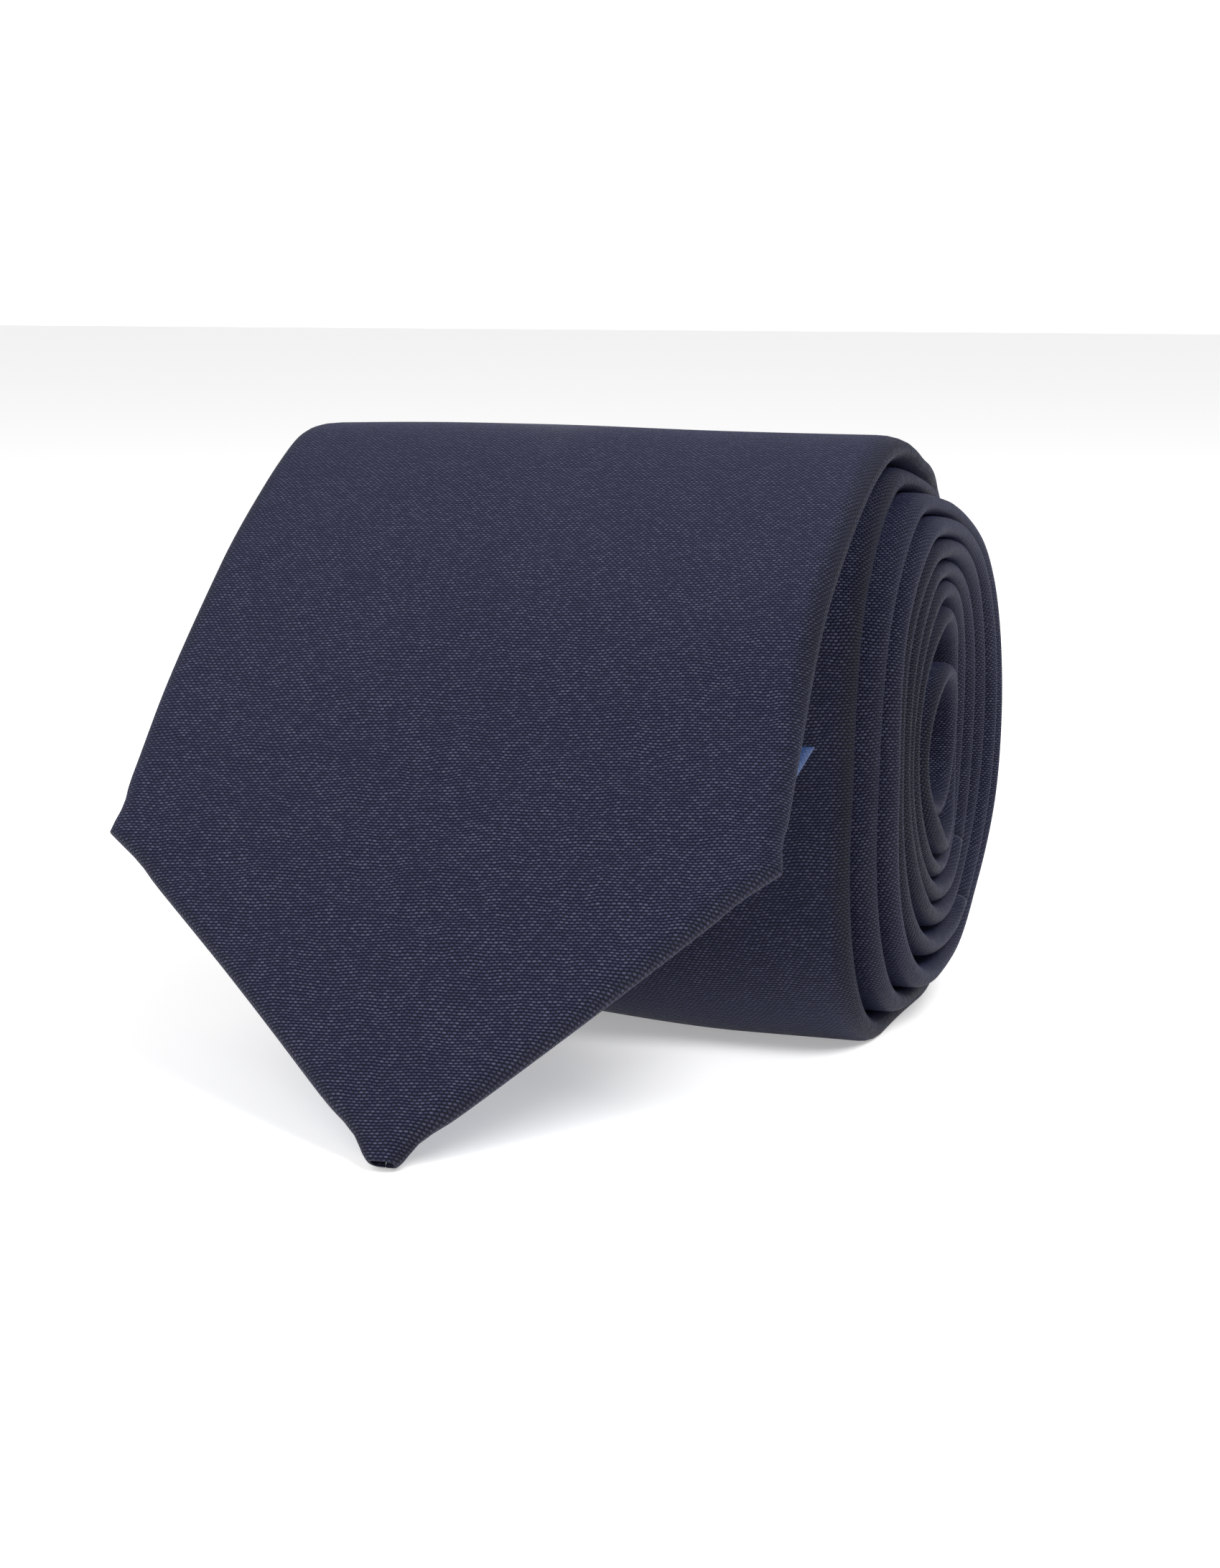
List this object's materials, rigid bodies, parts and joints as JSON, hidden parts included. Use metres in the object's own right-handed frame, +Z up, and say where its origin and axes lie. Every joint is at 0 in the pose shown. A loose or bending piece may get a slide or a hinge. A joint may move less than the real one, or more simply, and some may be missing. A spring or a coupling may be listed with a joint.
{
  "type": "rolled necktie",
  "caption": "Navy satin necktie rolled up from its tail, with the pointed wide blade leaning free from the crown of the roll to the floor.",
  "frame": {"origin": "on the floor, at the flat stretch that the outermost lap rests on, under the roll's centre and midway across the blade's point", "axes": "+X along the roll towards the end where the laps lie nearly flush, -Y towards the free end of the blade, +Z up"},
  "size_m": [0.0886, 0.137, 0.0789],
  "materials": {
    "satin": "navy satin weave with a soft sheen",
    "interlining": "matt brushed wool blend",
    "lining": "brighter blue satin lining",
    "thread": "twisted navy sewing thread",
    "tape": "plain woven tape, blank"
  },
  "bodies": {
    "roll": {"blade_shell_roll": "satin", "neck_shell": "satin", "tail_shell": "satin", "blade_interlining_roll": "interlining", "tail_interlining": "interlining", "interlining_seam": "thread", "blade_neck_seam": "thread", "neck_tail_seam": "thread", "slip_stitch_roll": "thread", "keeper_loop": "satin", "keeper_loop_tacks": "thread", "care_label": "tape", "tail_tipping": "lining", "tail_bar_tack": "thread"},
    "blade_end": {"blade_shell_end": "satin", "blade_interlining_end": "interlining", "blade_tipping": "lining", "tipping_stitches": "thread", "blade_bar_tack": "thread", "slip_stitch_end": "thread"}
  },
  "joints": [
    {"name": "blade_lift", "type": "hinge", "parent": "roll", "child": "blade_end", "pos_m": [0, -0.02518, 0.07622], "axis": [-1, 0, 0], "range_deg": [0, 100]}
  ]
}
